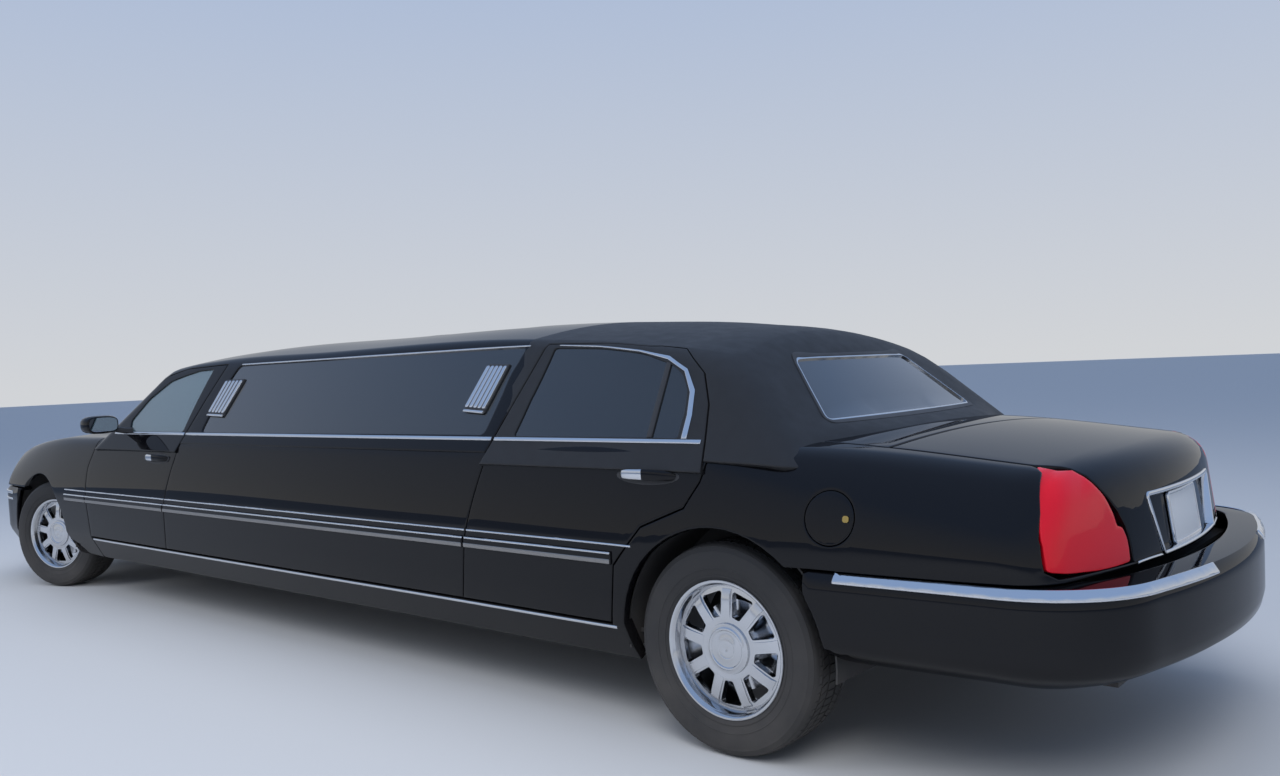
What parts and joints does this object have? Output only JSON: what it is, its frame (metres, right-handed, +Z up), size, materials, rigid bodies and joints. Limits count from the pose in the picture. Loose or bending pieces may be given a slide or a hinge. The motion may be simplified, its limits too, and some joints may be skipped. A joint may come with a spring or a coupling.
{
  "type": "stretch limousine",
  "caption": "Long black stretch limousine with a vinyl rear roof, chrome trim, dark side glass, hinged doors, hood and trunk lid, and steered front wheels.",
  "frame": {"origin": "on the ground, under the middle of the length and width", "axes": "+X forward, +Y to the left side, +Z up"},
  "size_m": [7.8898, 2.3, 1.501],
  "materials": {
    "body_paint": "gloss",
    "vinyl": "grained",
    "chrome_trim": "polished",
    "chrome_wheel": "polished",
    "tyre": "matte",
    "tinted_glass": "polished",
    "clear_glass": "polished",
    "lamp_glass": "polished",
    "red_lens": "polished",
    "underbody": "matte",
    "cast_metal": "cast",
    "steel": "satin",
    "interior_plastic": "matte",
    "seat_leather": "grained",
    "wood": "satin"
  },
  "bodies": {
    "body": {"bar_cabinet": "wood", "cowl": "body_paint", "dashboard": "interior_plastic", "engine": "cast_metal", "exhaust": "steel", "fixed_windows": "tinted_glass", "floor_pan": "underbody", "frame_rails": "underbody", "front_bumper": "body_paint", "front_fenders": "body_paint", "front_suspension": "underbody", "fuel_tank": "underbody", "grille": "chrome_trim", "headlamps": "lamp_glass", "partition": "interior_plastic", "quarter_panels": "body_paint", "rear_axle": "cast_metal", "rear_bumper": "body_paint", "rear_deck": "body_paint", "roof": "vinyl", "seats": "seat_leather", "side_panels": "body_paint", "tail_lamps": "red_lens", "windscreen": "clear_glass"},
    "hood": {"hood": "body_paint"},
    "trunk_lid": {"trunk_lid": "body_paint"},
    "fuel_door": {"fuel_door": "body_paint"},
    "front_door_left": {"front_door_left": "body_paint", "front_glass_left": "tinted_glass"},
    "front_door_right": {"front_door_right": "body_paint", "front_glass_right": "tinted_glass"},
    "rear_door_left": {"rear_door_left": "body_paint", "rear_glass_left": "tinted_glass"},
    "rear_door_right": {"rear_door_right": "body_paint", "rear_glass_right": "tinted_glass"},
    "knuckle_left": {"knuckle_left": "cast_metal"},
    "knuckle_right": {"knuckle_right": "cast_metal"},
    "wheel_front_left": {"tyre_front_left": "tyre", "rim_front_left": "chrome_wheel"},
    "wheel_front_right": {"tyre_front_right": "tyre", "rim_front_right": "chrome_wheel"},
    "wheel_rear_left": {"tyre_rear_left": "tyre", "rim_rear_left": "chrome_wheel"},
    "wheel_rear_right": {"tyre_rear_right": "tyre", "rim_rear_right": "chrome_wheel"}
  },
  "joints": [
    {"name": "spin_front_left", "type": "hinge", "parent": "knuckle_left", "child": "wheel_front_left", "pos_m": [2.90481, 0.79979, 0.351], "axis": [-0.3354, 0.9421, 0], "continuous": true},
    {"name": "spin_front_right", "type": "hinge", "parent": "knuckle_right", "child": "wheel_front_right", "pos_m": [2.96519, -0.79979, 0.351], "axis": [-0.3354, 0.9421, 0], "continuous": true},
    {"name": "spin_rear_left", "type": "hinge", "parent": "body", "child": "wheel_rear_left", "pos_m": [-2.595, 0.833, 0.351], "axis": [0, 1, 0], "continuous": true},
    {"name": "spin_rear_right", "type": "hinge", "parent": "body", "child": "wheel_rear_right", "pos_m": [-2.595, -0.833, 0.351], "axis": [0, 1, 0], "continuous": true},
    {"name": "steer_left", "type": "hinge", "parent": "body", "child": "knuckle_left", "pos_m": [2.935, 0.715, 0.351], "axis": [0, 0, 1], "range_deg": [-52, 13]},
    {"name": "steer_right", "type": "hinge", "parent": "body", "child": "knuckle_right", "pos_m": [2.935, -0.715, 0.351], "axis": [0, 0, 1], "range_deg": [-52, 13]},
    {"name": "front_door_left", "type": "hinge", "parent": "body", "child": "front_door_left", "pos_m": [2.135, 0.978, 0.6], "axis": [0, 0, -1], "range_deg": [0, 65]},
    {"name": "rear_door_left", "type": "hinge", "parent": "body", "child": "rear_door_left", "pos_m": [-1.405, 0.978, 0.6], "axis": [0, 0, -1], "range_deg": [0, 65]},
    {"name": "front_door_right", "type": "hinge", "parent": "body", "child": "front_door_right", "pos_m": [2.135, -0.978, 0.6], "axis": [0, 0, 1], "range_deg": [0, 65]},
    {"name": "rear_door_right", "type": "hinge", "parent": "body", "child": "rear_door_right", "pos_m": [-1.405, -0.978, 0.6], "axis": [0, 0, 1], "range_deg": [0, 65]},
    {"name": "hood", "type": "hinge", "parent": "body", "child": "hood", "pos_m": [2.27, 0, 0.985], "axis": [0, -1, 0], "range_deg": [0, 50]},
    {"name": "trunk_lid", "type": "hinge", "parent": "body", "child": "trunk_lid", "pos_m": [-3.089, 0, 1.085], "axis": [0, 1, 0], "range_deg": [0, 75]},
    {"name": "fuel_door", "type": "hinge", "parent": "body", "child": "fuel_door", "pos_m": [-2.947, 0.97, 0.809], "axis": [0, 0, -1], "range_deg": [0, 95]}
  ],
  "couplings": [
    {"joint": "steer_right", "follows": "steer_left", "ratio": 1}
  ]
}
